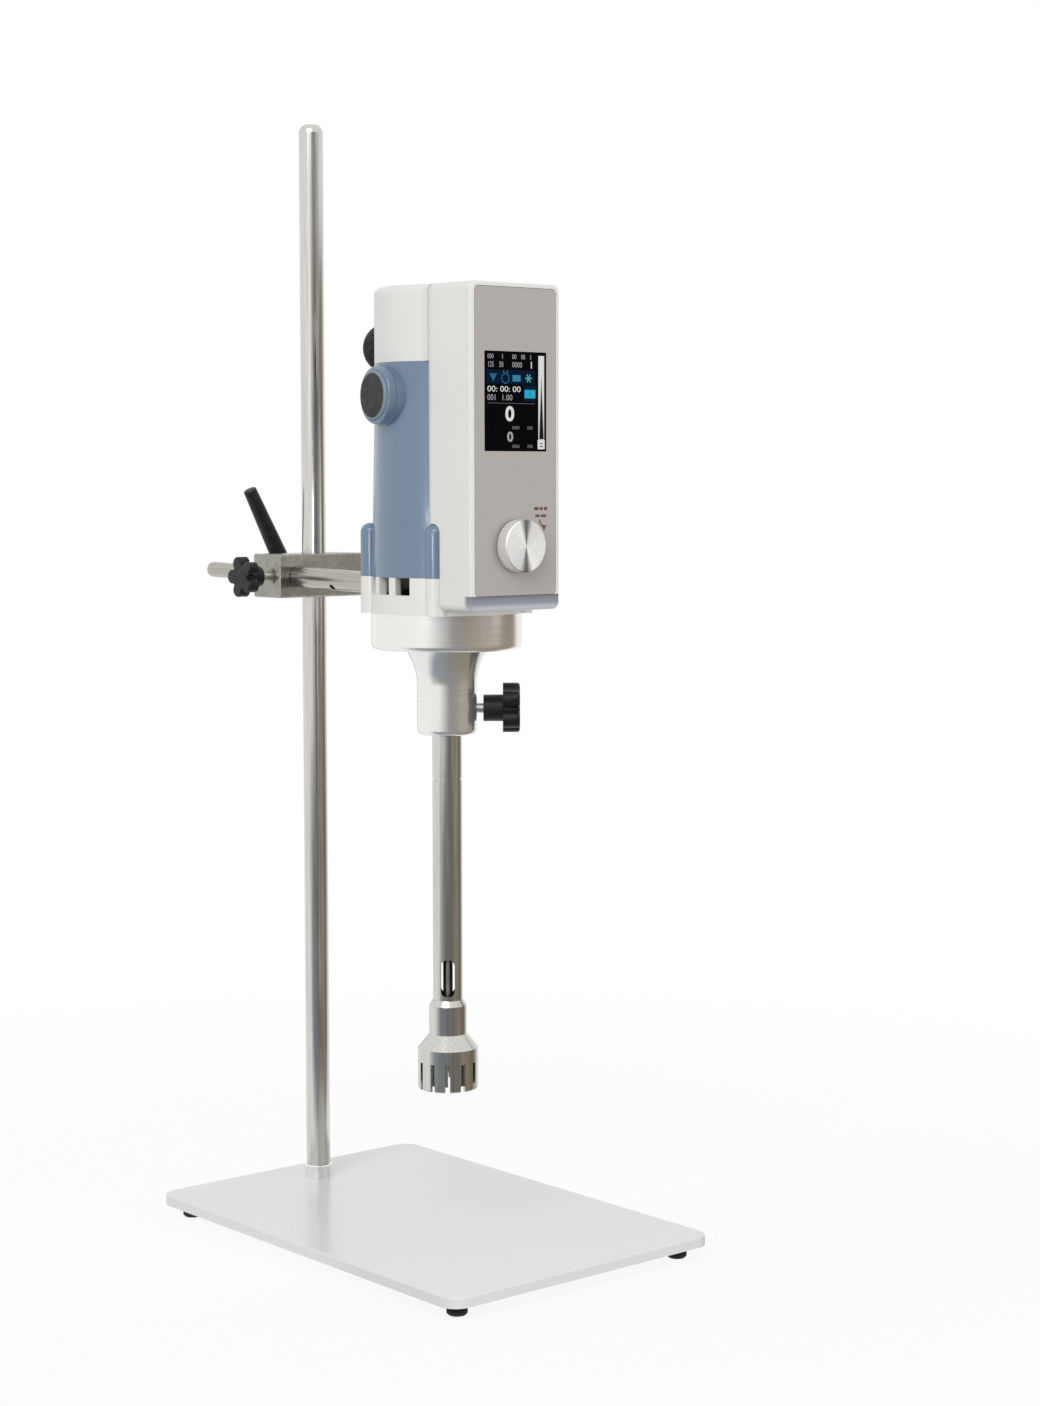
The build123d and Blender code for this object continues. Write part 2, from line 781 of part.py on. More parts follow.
def encoder_shaft():
    start = encoder_start() + plunger_length + seat_gap
    end = box_reach + knob_gap + knob_length - knob_face
    shaft = Cylinder(encoder_stem_radius - free_gap, end - start, align=BASE)
    journal = Cylinder(encoder_pin_radius, encoder_pin_length, align=TOP)
    return on_head(Pos(0, -start, knob_z) * Rot(90, 0, 0) * (shaft + journal))


def control_knob():
    knob = Cylinder(knob_radius, knob_length, align=BASE)
    knob = chamfer(knob.edges().group_by(Axis.Z)[-1], knob_edge)
    flute = Box(2 * knob_flute_depth, knob_flute_width, knob_length - knob_plain_band, align=BASE)
    for index in range(knob_flutes):
        knob -= Rot(0, 0, index * 360 / knob_flutes) * Pos(knob_radius, 0, -cut) * flute
    knob -= Cylinder(encoder_stem_radius - free_gap, knob_length - knob_face, align=BASE)
    knob -= Cylinder(encoder_bush_radius + knob_recess_margin, knob_recess, align=BASE)
    return on_head(Pos(0, -box_reach - knob_gap, knob_z) * Rot(90, 0, 0) * knob)


# ---- motor ----
def at_brushes(shape):
    return [on_head(spoke(shape, angle, brush_z)) for angle in (brush_angle, brush_angle + 180)]


def brush_channel(length, grow=0.0):
    return Box(brush_height + grow, brush_width + grow, length, align=BASE)


def brush_holders():
    start = commutator_radius + holder_start
    end = brush_seat - brush_plug
    holder = Pos(0, 0, start) * Cylinder(brush_holder_radius, end - start, align=BASE)
    holder -= Pos(0, 0, start - cut) * brush_channel(end, slide_gap * 2)
    return at_brushes(holder)


def carbon_brushes():
    brush = brush_channel(brush_length + commutator_radius + free_gap)
    brush -= Rot(0, 90, 0) * Cylinder(commutator_radius + free_gap, brush_height + 4)
    return at_brushes(brush)


def brush_springs():
    start = commutator_radius + free_gap + brush_length
    height = brush_seat - brush_plug - start - 2 * spring_wire
    coil = Helix(pitch=height / spring_turns, height=height, radius=spring_radius)
    section = Plane(origin=coil @ 0, z_dir=coil % 0) * RegularPolygon(spring_wire, 6)
    spring = sweep(section, path=coil)
    return at_brushes(Pos(0, 0, start + spring_wire) * spring)


def brush_caps():
    cap = Pos(0, 0, brush_seat) * Cylinder(brush_cap_radius, brush_cap_thickness, align=BASE)
    cap = fillet(cap.edges().group_by(Axis.Z)[-1], brush_cap_edge)
    plug = Cylinder(brush_holder_radius - seat_gap, brush_plug, align=BASE)
    plug = Pos(0, 0, brush_seat - brush_plug) * plug
    return at_brushes(cap + plug)


def motor_stator_core():
    bore = armature_radius + air_gap
    yoke = ring(core_radius, core_radius - core_wall, core_low, core_low + core_height)
    poles = block((cut - core_radius, core_radius - cut), (-pole_half_width, pole_half_width),
                  (core_low, core_low + core_height))
    return on_head(yoke + poles - post(bore, core_low - cut, core_low + core_height + cut))


def coil_reach():
    """How far from the axis the field coils may go inside the core's ring."""
    half = pole_half_width + coil_wall
    inside = core_radius - core_wall - coil_play
    return (inside ** 2 - half ** 2) ** 0.5


def field_windings():
    middle = core_low + core_height / 2
    half = pole_half_width + coil_wall
    near = armature_radius + air_gap + coil_gap
    tall = core_height / 2 + coil_wall
    coil = block((near, coil_reach()), (-half, half), (middle - tall, middle + tall))
    coil = fillet(coil.edges().filter_by(Axis.X), coil_wall * 0.8)
    coil -= block((near - cut, coil_reach() + cut), (-pole_half_width, pole_half_width),
                  (core_low, core_low + core_height))
    return [on_head(Rot(0, 0, angle) * coil) for angle in (0, 180)]


def armature():
    core = post(armature_radius, core_low, core_low + core_height)
    half = armature_slot_width / 2
    slot = block((armature_radius - armature_slot_depth, armature_radius + cut), (-half, half),
                 (core_low - cut, core_low + core_height + cut))
    for index in range(armature_slots):
        core -= Rot(0, 0, index * 360 / armature_slots) * slot
    low = core_low - end_winding
    high = core_low + core_height + end_winding
    windings = post(end_winding_radius, low, high)
    return on_head(core + windings - post(shaft_radius, low - cut, high + cut))


def commutator():
    low = brush_z - commutator_height / 2
    high = low + commutator_height
    drum = post(commutator_radius, low, high)
    half = commutator_groove_width / 2
    groove = block((commutator_radius - commutator_groove, commutator_radius + cut), (-half, half),
                   (low - cut, high + cut))
    for index in range(armature_slots):
        drum -= Rot(0, 0, index * 360 / armature_slots) * groove
    return on_head(drum - post(shaft_radius, low - cut, high + cut))


def motor_shaft():
    low = coupling_low + coupling_web
    step = coupling_high + cut
    neck = upper_bearing_low - shaft_step
    top = upper_bearing_low + upper_bearing_width + cut
    tip = upper_bore_radius - running_gap
    shaft = turned((0, low), (upper_bore_radius, low), (upper_bore_radius, step),
                   (shaft_radius, step), (shaft_radius, neck), (tip, neck), (tip, top), (0, top))
    return on_head(shaft)


def cooling_fan():
    low = collar_low + fan_rise
    high = low + fan_height
    fan = post(fan_radius, low, low + fan_disc) + post(fan_hub_radius, low, high)
    blade = Box(fan_blade_length, fan_blade_thickness, fan_height, align=BASE)
    blade = Pos(fan_blade_place, 0, low) * Rot(0, 0, fan_blade_lean) * blade
    for index in range(fan_blades):
        fan += Rot(0, 0, index * 360 / fan_blades) * blade
    fan &= post(fan_radius, low, high)
    return on_head(fan - post(shaft_radius, low - cut, high + cut))


def drive_coupling():
    sleeve = post(coupling_radius, coupling_low, coupling_high)
    sleeve = chamfer(sleeve.edges(), coupling_edge)
    sleeve -= post(upper_bore_radius, coupling_low + coupling_web, coupling_high + cut)
    half = coupling_slot / 2
    wide = coupling_radius + cut
    sleeve -= block((-wide, wide), (-half, half), (coupling_low - cut, tongue_high + free_gap))
    return on_head(sleeve)


def sealed_bearing(bore, outer, width, low):
    """A sealed ball bearing: a ring with its two shields set in."""
    bearing = ring(outer, bore, low, low + width)
    lip = (outer - bore) * 0.25
    groove = ring(outer - lip, bore + lip, low - cut, low + bearing_shield)
    bearing -= groove
    bearing -= Pos(0, 0, width + cut - bearing_shield) * groove
    return on_head(bearing)


def lower_bearing():
    return sealed_bearing(lower_bore_radius, lower_bearing_radius, lower_bearing_width, bearing_low)


def upper_bearing():
    return sealed_bearing(upper_bore_radius, upper_bearing_radius, upper_bearing_width, upper_bearing_low)


def bearing_bracket():
    outer = housing_radius - shell_wall - slide_gap
    bracket = post(outer, bracket_low, housing_high)
    for index in range(4):
        window = post(bracket_window, bracket_low - cut, housing_high + cut)
        bracket -= Rot(0, 0, 45 + index * 90) * Pos(outer * 0.66, 0, 0) * window
    high = upper_bearing_low + upper_bearing_width
    bracket += post(upper_bearing_radius + bracket_wall, bracket_low, high)
    bracket -= post(upper_bearing_radius, upper_bearing_low, high + cut)
    bracket -= post(upper_bore_radius + shaft_shoulder, bracket_low - cut, upper_bearing_low + cut)
    return on_head(bracket)


def inlet_socket():
    """The round power socket that goes through the rear of the upper housing."""
    start = housing_radius - shell_wall - inlet_inside
    end = housing_radius + inlet_length
    socket = Pos(0, 0, start) * Cylinder(inlet_radius, end - start, align=BASE)
    well = Cylinder(inlet_radius - inlet_wall, inlet_length, align=BASE)
    socket -= Pos(0, 0, housing_radius + inlet_floor) * well
    pin = Cylinder(inlet_pin_radius, inlet_pin_length, align=BASE)
    pin = Pos(inlet_radius * 0.5, 0, housing_radius) * pin
    for turn in (0, 120, 240):
        socket += Rot(0, 0, turn) * pin
    return on_head(spoke(socket, 90, inlet_z))


def inlet_cap():
    """The domed screw cap over the power socket, shaped to the housing's curve at its foot."""
    foot = (housing_radius ** 2 - inlet_cap_radius ** 2) ** 0.5
    start = foot - inlet_cap_overlap
    cap = Cylinder(inlet_cap_radius, housing_radius + inlet_cap_length - start, align=BASE)
    cap = fillet(cap.edges().group_by(Axis.Z)[-1], inlet_cap_radius * 0.92)
    grip = Cylinder(inlet_grip_radius, inlet_cap_length * 0.5 + 2 * cut, align=BASE)
    grip = Pos(inlet_cap_radius + inlet_grip_radius / 2, 0, 0) * grip
    for index in range(inlet_cap_grips):
        cap -= Rot(0, 0, index * 360 / inlet_cap_grips) * grip
    cap -= Cylinder(inlet_radius + seat_gap, housing_radius + inlet_length + free_gap - start, align=BASE)
    cap = spoke(Pos(0, 0, start) * cap, 90, inlet_z)
    return on_head(cap - post(housing_radius + slide_gap, inlet_z - inlet_cap_radius - cut, cap_high + cut))


# ---- dispersing tool ----
def generator_tube():
    low = tool_low + stator_height + stator_cone + tube_seat_depth
    tube = ring(tube_radius, tube_radius - tube_wall, low, tube_top)
    groove_z = socket_low - groove_drop
    tube -= ring(tube_radius + cut, tube_radius - groove_depth,
                 groove_z - groove_width / 2, groove_z + groove_width / 2)
    half = seal_width / 2
    tube -= ring(tube_radius + cut, tube_radius - seal_depth, seal_z - half, seal_z + half)
    window = SlotOverall(window_height, window_width, rotation=90)
    window = Plane.XZ * window
    opening = extrude(window, amount=tube_radius * 2, both=True)
    middle = tool_low + window_rise + window_height / 2
    tube -= Rot(0, 0, tool_turn + 90) * Pos(0, 0, middle) * opening
    return on_head(tube)


def tool_o_ring():
    half = seal_width / 2 - seat_gap
    return on_head(ring(tube_radius, tube_radius - seal_depth, seal_z - half, seal_z + half))


def stator_head():
    shoulder = tool_low + stator_height
    cone_top = shoulder + stator_cone
    neck_top = cone_top + stator_neck
    cavity = stator_radius - stator_wall
    neck_end = neck_top + stator_neck_chamfer * 1.6
    tube_seat = cone_top + tube_seat_depth
    bore = tube_radius - tube_wall
    body = turned((cavity, tool_low), (stator_radius - stator_rim, tool_low),
                  (stator_radius, tool_low + stator_rim), (stator_radius, shoulder),
                  (stator_neck_radius, cone_top), (stator_neck_radius, neck_top),
                  (stator_neck_radius - stator_neck_chamfer, neck_end), (tube_radius, neck_end),
                  (tube_radius, tube_seat), (bore, tube_seat), (bore, cone_top - stator_roof),
                  (cavity, shoulder - stator_roof))
    half = stator_slot_width / 2
    slot = block((cavity - cut, stator_radius + cut), (-half, half),
                 (tool_low - cut, tool_low + stator_slot_height))
    for index in range(stator_slots):
        body -= Rot(0, 0, tool_turn + index * 360 / stator_slots) * slot
    return on_head(body)


def shaft_bushings():
    bushings = []
    window_top = tool_low + window_rise + window_height
    for low in (window_top + bushing_margin, coupling_low - bushing_drop - bushing_height):
        bush = ring(tube_radius - tube_wall, tool_shaft_radius + running_gap, low, low + bushing_height)
        bushings.append(on_head(bush))
    return bushings


def rotor_low():
    return tool_low + rotor_lift


def generator_shaft():
    low = rotor_low() + rotor_height - rotor_web - rotor_shaft_sink
    return on_head(post(tool_shaft_radius, low, coupling_low - tongue_foot))


def drive_tongue():
    half = (coupling_slot - 2 * seat_gap) / 2
    wide = tongue_width / 2
    tongue = block((-wide, wide), (-half, half), (coupling_low - tongue_foot, tongue_high))
    return on_head(tongue)


def rotor_head():
    outer = stator_radius - stator_wall - rotor_gap
    low = rotor_low()
    high = low + rotor_height
    rotor = ring(outer, outer - rotor_wall, low, high)
    rotor += post(outer - rotor_wall / 2, high - rotor_web, high)
    web_low = high - rotor_web
    rotor += post(tool_shaft_radius + rotor_hub_wall, web_low - rotor_hub_drop, high + rotor_hub_rise)
    half = rotor_slot_width / 2
    slot = block((outer - rotor_wall - cut, outer + cut), (-half, half), (low - cut, web_low))
    for index in range(rotor_teeth):
        rotor -= Rot(0, 0, index * 360 / rotor_teeth) * slot
    rotor -= post(tool_shaft_radius, web_low - rotor_shaft_sink, high + rotor_hub_rise + cut)
    return on_head(rotor)


def tool_clamp_screw():
    start = tube_radius + free_gap
    end = tool_knob_reach + tool_knob_hub_length
    screw = Pos(0, 0, start) * Cylinder(screw_radius, end - start, align=BASE)
    return on_head(spoke(screw, tool_knob_turn, tool_screw_z))


def tool_clamp_knob():
    knob = star_knob(tool_knob_radius, tool_knob_thickness, tool_knob_hub_radius, tool_knob_hub_length)
    knob -= Cylinder(screw_radius, tool_knob_hub_length, align=BASE)
    return on_head(spoke(Pos(0, 0, tool_knob_reach) * knob, tool_knob_turn, tool_screw_z))


nodes = [base_plate, rubber_feet, foot_screws, stand_rod, rod_base_collar, rod_bolt,
         clamp_block, rod_clamp_screw, rod_clamp_lever, arm_clamp_screw, arm_clamp_knob, support_arm,
         vent_collar, mounting_flange, tool_socket, motor_housing, housing_screws,
         control_housing, front_panel, display_glass, display_module, control_board, board_standoffs,
         encoder_body, encoder_plunger, encoder_shaft, control_knob,
         brush_holders, carbon_brushes, brush_springs, brush_caps, motor_stator_core, field_windings,
         armature, commutator, motor_shaft, cooling_fan, drive_coupling,
         lower_bearing, upper_bearing, bearing_bracket, inlet_socket, inlet_cap,
         generator_tube, tool_o_ring, stator_head, shaft_bushings, generator_shaft, drive_tongue, rotor_head,
         tool_clamp_screw, tool_clamp_knob]

os.makedirs("parts", exist_ok=True)
for node in nodes:
    made = node()
    solids = made if isinstance(made, list) else [made]
    group = solids[0] if len(solids) == 1 else Compound(children=solids)
    group.label = node.__name__
    export_step(group, f"parts/{node.__name__}.step")
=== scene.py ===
import json
from math import cos, pi, radians, sin

import bpy
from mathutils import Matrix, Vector


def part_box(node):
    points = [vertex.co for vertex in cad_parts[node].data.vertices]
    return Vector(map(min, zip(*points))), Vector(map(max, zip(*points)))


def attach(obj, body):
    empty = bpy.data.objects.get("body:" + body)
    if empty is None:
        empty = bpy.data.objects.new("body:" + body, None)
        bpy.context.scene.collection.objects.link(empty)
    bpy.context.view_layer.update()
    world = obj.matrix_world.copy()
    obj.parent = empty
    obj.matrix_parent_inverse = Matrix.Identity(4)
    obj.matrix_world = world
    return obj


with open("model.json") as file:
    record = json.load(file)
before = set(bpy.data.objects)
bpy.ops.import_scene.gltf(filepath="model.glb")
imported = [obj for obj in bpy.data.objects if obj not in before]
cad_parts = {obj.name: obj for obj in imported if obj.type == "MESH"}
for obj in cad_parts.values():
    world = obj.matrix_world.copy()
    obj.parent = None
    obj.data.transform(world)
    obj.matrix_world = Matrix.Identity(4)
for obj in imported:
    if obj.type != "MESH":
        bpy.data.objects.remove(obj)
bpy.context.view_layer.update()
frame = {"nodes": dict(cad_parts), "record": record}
bpy.ops.object.select_all(action="DESELECT")
nodes = frame["nodes"]

# The machine's main places, in metres. A node's box is its low and its high corner.
head_x = -0.024
head_y = -0.076
tube_radius = 0.0092
panel_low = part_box("front_panel")[0]
housing_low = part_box("control_housing")[0]
screen_low, screen_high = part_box("display_glass")
screen_width = screen_high[0] - screen_low[0]
screen_height = screen_high[2] - screen_low[2]
knob_low, knob_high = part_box("control_knob")
cap_low, cap_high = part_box("brush_caps")
knob_z = (knob_low[2] + knob_high[2]) / 2
brush_z = (cap_low[2] + cap_high[2]) / 2

# Where most of a noise pattern's values lie.
noise_middle = (0.3, 0.7)


# ---- looks: the steps that every finish is made of ----
def new_look(name, colour, roughness, metallic=0.0):
    """A material of one colour, with its node tree and its shader."""
    look = bpy.data.materials.new(name)
    look.use_nodes = True
    shader = look.node_tree.nodes["Principled BSDF"]
    shader.inputs["Base Color"].default_value = (*colour, 1)
    shader.inputs["Roughness"].default_value = roughness
    shader.inputs["Metallic"].default_value = metallic
    return look, look.node_tree, shader


def from_centre(tree, centre=(0, 0, 0)):
    """Object coordinates, measured from a point."""
    shift = tree.nodes.new("ShaderNodeVectorMath")
    shift.operation = "SUBTRACT"
    shift.inputs[1].default_value = centre
    tree.links.new(tree.nodes.new("ShaderNodeTexCoord").outputs["Object"], shift.inputs[0])
    return shift.outputs[0]


def object_place(tree, centre=(0, 0, 0), turn=(0, 0, 0), stretch=(1, 1, 1)):
    """Object coordinates, centred, turned and stretched for a pattern."""
    mapping = tree.nodes.new("ShaderNodeMapping")
    mapping.inputs["Rotation"].default_value = turn
    mapping.inputs["Scale"].default_value = stretch
    tree.links.new(from_centre(tree, centre), mapping.inputs["Vector"])
    return mapping.outputs[0]


def axes(tree, place):
    """The three coordinates of a place, to be picked by their letters."""
    parts = tree.nodes.new("ShaderNodeSeparateXYZ")
    tree.links.new(place, parts.inputs[0])
    return parts.outputs


def length(tree, vector):
    reach = tree.nodes.new("ShaderNodeVectorMath")
    reach.operation = "LENGTH"
    tree.links.new(vector, reach.inputs[0])
    return reach.outputs["Value"]


def worked_out(tree, operation, first, second):
    """One value worked out from two. The second may be a plain number."""
    step = tree.nodes.new("ShaderNodeMath")
    step.operation = operation
    tree.links.new(first, step.inputs[0])
    if isinstance(second, float):
        step.inputs[1].default_value = second
    else:
        tree.links.new(second, step.inputs[1])
    return step.outputs[0]


def noise(tree, place, scale, detail=3.0, rough=0.5):
    grain = tree.nodes.new("ShaderNodeTexNoise")
    grain.inputs["Scale"].default_value = scale
    grain.inputs["Detail"].default_value = detail
    grain.inputs["Roughness"].default_value = rough
    tree.links.new(place, grain.inputs["Vector"])
    return grain.outputs["Fac"]


def spread(tree, value, low, high, out_low, out_high):
    """Stretch a value from one range to another, softly at both ends."""
    step = tree.nodes.new("ShaderNodeMapRange")
    step.interpolation_type = "SMOOTHSTEP"
    numbers = (low, high, out_low, out_high)
    for socket, number in zip(("From Min", "From Max", "To Min", "To Max"), numbers):
        step.inputs[socket].default_value = number
    tree.links.new(value, step.inputs["Value"])
    return step.outputs["Result"]


def shade(colour, factor):
    """A colour made darker or lighter."""
    return tuple(min(1.0, channel * factor) for channel in colour)


def tone_mix(tree, value, low, high):
    """A mix of two tones, from the first at 0 to the second at 1."""
    tones = tree.nodes.new("ShaderNodeMix")
    tones.data_type = "RGBA"
    tones.inputs["A"].default_value = (*low, 1)
    tones.inputs["B"].default_value = (*high, 1)
    tree.links.new(value, tones.inputs["Factor"])
    return tones


def two_tone(tree, shader, value, colour, dark, light):
    """A base colour that runs between two shares of itself as the value goes from 0 to 1."""
    tones = tone_mix(tree, value, shade(colour, dark), shade(colour, light))
    tree.links.new(tones.outputs["Result"], shader.inputs["Base Color"])


def relief(tree, shader, value, depth):
    """Fine bumps, with their depth in metres."""
    bump = tree.nodes.new("ShaderNodeBump")
    bump.inputs["Distance"].default_value = depth
    bump.inputs["Strength"].default_value = 1.0
    tree.links.new(value, bump.inputs["Height"])
    tree.links.new(bump.outputs["Normal"], shader.inputs["Normal"])


def uneven(tree, shader, value, roughness, low, high):
    """Roughness that changes over a surface between two shares of its mean."""
    level = spread(tree, value, *noise_middle, roughness * low, roughness * high)
    tree.links.new(level, shader.inputs["Roughness"])


def metal_skin(tree, shader, value, colour, tones, depth):
    """The tones and the fine relief of a metal, both from one pattern."""
    full = spread(tree, value, *noise_middle, 0, 1)
    two_tone(tree, shader, full, colour, 1 - tones, 1 + tones)
    relief(tree, shader, value, depth)


def ramp(tree, value, stops, interpolation="EASE"):
    """Colours along a value, each at its place."""
    colours = tree.nodes.new("ShaderNodeValToRGB")
    colours.color_ramp.interpolation = interpolation
    while len(colours.color_ramp.elements) < len(stops):
        colours.color_ramp.elements.new(0.5)
    for element, (where, colour) in zip(colours.color_ramp.elements, stops):
        element.position = where
        element.color = (*colour, 1)
    tree.links.new(value, colours.inputs["Fac"])
    return colours.outputs["Color"]


def bearing(tree, place):
    """The angle round the Z axis of a place, as a share of a full turn."""
    angle = tree.nodes.new("ShaderNodeTexGradient")
    angle.gradient_type = "RADIAL"
    tree.links.new(place, angle.inputs["Vector"])
    return angle.outputs["Fac"]


def round_axis(tree, centre, axis):
    """The way round an axis at each point, as long as the point's distance from that axis."""
    side = tree.nodes.new("ShaderNodeVectorMath")
    side.operation = "CROSS_PRODUCT"
    side.inputs[0].default_value = axis
    tree.links.new(from_centre(tree, centre), side.inputs[1])
    return side.outputs[0]


def round_grain(tree, shader, centre, axis, amount):
    """Reflections stretched by fine lines that run round an axis."""
    turned = tree.nodes.new("ShaderNodeVectorTransform")
    turned.vector_type = "VECTOR"
    turned.convert_from = "OBJECT"
    turned.convert_to = "WORLD"
    tree.links.new(round_axis(tree, centre, axis), turned.inputs[0])
    tree.links.new(turned.outputs[0], shader.inputs["Tangent"])
    shader.inputs["Anisotropic"].default_value = amount


def ring_place(tree, centre, turn, pitch):
    """Distance from an axis and height along it, in steps of the lathe's pitch."""
    parts = axes(tree, object_place(tree, centre, turn))
    flat = tree.nodes.new("ShaderNodeCombineXYZ")
    tree.links.new(parts["X"], flat.inputs["X"])
    tree.links.new(parts["Y"], flat.inputs["Y"])
    rows = tree.nodes.new("ShaderNodeCombineXYZ")
    for value, socket in ((length(tree, flat.outputs[0]), "X"), (parts["Z"], "Z")):
        tree.links.new(worked_out(tree, "MULTIPLY", value, 1 / pitch), rows.inputs[socket])
    return rows.outputs[0]


# ---- looks: how each finish is made ----
def enamel(name, colour, roughness=0.3, coat=0.3, peel=0.00002, mottle=0.03, sheen=0.5):
    """Sprayed or moulded gloss colour: a faint mottle and a faint orange peel."""
    look, tree, shader = new_look(name, colour, roughness)
    place = object_place(tree)
    two_tone(tree, shader, noise(tree, place, 25, 4), colour, 1 - mottle, 1 + mottle)
    relief(tree, shader, noise(tree, place, 900, 2), peel)
    uneven(tree, shader, noise(tree, place, 60, 3), roughness, 0.96, 1.05)
    shader.inputs["Specular IOR Level"].default_value = sheen
    shader.inputs["Coat Weight"].default_value = coat
    shader.inputs["Coat Roughness"].default_value = 0.12
    return look


def moulded(name, colour, roughness=0.5, grain=1400):
    """Moulded plastic or rubber with a fine pebbled skin and rubbed spots."""
    look, tree, shader = new_look(name, colour, roughness)
    place = object_place(tree)
    shader.inputs["Specular IOR Level"].default_value = 0.3
    rubbed = spread(tree, noise(tree, place, 180, 5), 0.35, 0.75, 0, 1)
    two_tone(tree, shader, rubbed, colour, 0.7, 2.0)
    relief(tree, shader, noise(tree, place, grain, 3, 0.6), 0.00004)
    uneven(tree, shader, noise(tree, place, 120, 4), roughness, 0.8, 1.25)
    return look


def drawn_metal(name, colour, roughness, stretch=(900, 900, 14)):
    """Bar or tube metal with fine scratches along one way."""
    look, tree, shader = new_look(name, colour, roughness, 1.0)
    streaks = noise(tree, object_place(tree, stretch=stretch), 1, 4, 0.6)
    metal_skin(tree, shader, streaks, colour, tones=0.1, depth=0.000003)
    uneven(tree, shader, streaks, roughness, 0.8, 1.3)
    return look


def turned_metal(name, colour, roughness, centre, axis=(0, 0, 1), pitch=0.0009, depth=0.00001,
                 tones=0.08, grain=0.5, metallic=1.0):
    """Metal with the lathe's fine rings round an axis, which is Z or Y."""
    look, tree, shader = new_look(name, colour, roughness, metallic)
    turn = (0, 0, 0) if axis[2] else (pi / 2, 0, 0)
    rings = noise(tree, ring_place(tree, centre, turn, pitch), 1, 2, 0.7)
    metal_skin(tree, shader, rings, colour, tones, depth)
    uneven(tree, shader, rings, roughness, 0.85, 1.2)
    round_grain(tree, shader, centre, axis, grain)
    return look


def plain_metal(name, colour, roughness, scale=300, depth=0.000003, tones=0.12):
    """Plated or cast metal with a cloudy skin."""
    look, tree, shader = new_look(name, colour, roughness, 1.0)
    place = object_place(tree)
    metal_skin(tree, shader, noise(tree, place, scale, 4, 0.6), colour, tones, depth)
    uneven(tree, shader, noise(tree, place, 40, 3), roughness, 0.8, 1.3)
    return look


def lit(name, colour, strength=0.9):
    """A lit mark on the display, with the faint grain of its dots."""
    look, tree, shader = new_look(name, shade(colour, 0.1), 0.4)
    shader.inputs["Specular IOR Level"].default_value = 0.03
    shader.inputs["Emission Strength"].default_value = strength
    dots = spread(tree, noise(tree, object_place(tree), 2500, 1), *noise_middle, 0, 1)
    tones = tone_mix(tree, dots, shade(colour, 0.85), colour)
    tree.links.new(tones.outputs["Result"], shader.inputs["Emission Color"])
    return look


# ---- looks: a second tone on one part of a piece ----
def second_tone(look, value, colour=(0, 0, 0)):
    """Let a look turn to another colour where a value is 1."""
    tree = look.node_tree
    base = tree.nodes["Principled BSDF"].inputs["Base Color"]
    first = base.links[0].from_socket
    tones = tone_mix(tree, value, (0, 0, 0), colour)
    tree.links.new(first, tones.inputs["A"])
    tree.links.new(tones.outputs["Result"], base)
    return tones


def painted_shade_lip(look, low, high, front, stops):
    """Painted shade on the rounded lip along the lower front of the control box, in tones up its
    height.
    """
    edge = 0.0003
    fade = 0.004
    tree = look.node_tree
    parts = axes(tree, from_centre(tree))
    below = spread(tree, parts["Z"], high - edge, high + edge, 1, 0)
    before = spread(tree, parts["Y"], front, front + fade, 1, 0)
    place = tree.nodes.new("ShaderNodeMapRange")
    place.inputs["From Min"].default_value = low
    place.inputs["From Max"].default_value = high
    tree.links.new(parts["Z"], place.inputs["Value"])
    tones = second_tone(look, worked_out(tree, "MULTIPLY", below, before))
    tree.links.new(ramp(tree, place.outputs["Result"], stops), tones.inputs["B"])


def outer_ring(look, centre, axis, radius, colour, inside=0, outside=1):
    """Another tone beyond a radius from an axis, or within it."""
    edge = 0.0002
    tree = look.node_tree
    reach = length(tree, round_axis(tree, centre, axis))
    second_tone(look, spread(tree, reach, radius - edge, radius + edge, inside, outside), colour)


def painted_reflection_sectors(look, centre, stops):
    """Painted reflection: the bright and dull sectors of a turned face's sheen, painted into its
    colour by their angle round the knob's axis.
    """
    tree = look.node_tree
    angle = bearing(tree, object_place(tree, centre, (pi / 2, 0, 0)))
    base = tree.nodes["Principled BSDF"].inputs["Base Color"]
    tree.links.new(ramp(tree, angle, stops), base)


def back_part(look, front, colour):
    """The knob's side, of one tone behind its face."""
    fade_start, fade_end = front + 0.0006, front + 0.0012
    tree = look.node_tree
    behind = axes(tree, from_centre(tree))["Y"]
    second_tone(look, spread(tree, behind, fade_start, fade_end, 0, 1), colour)


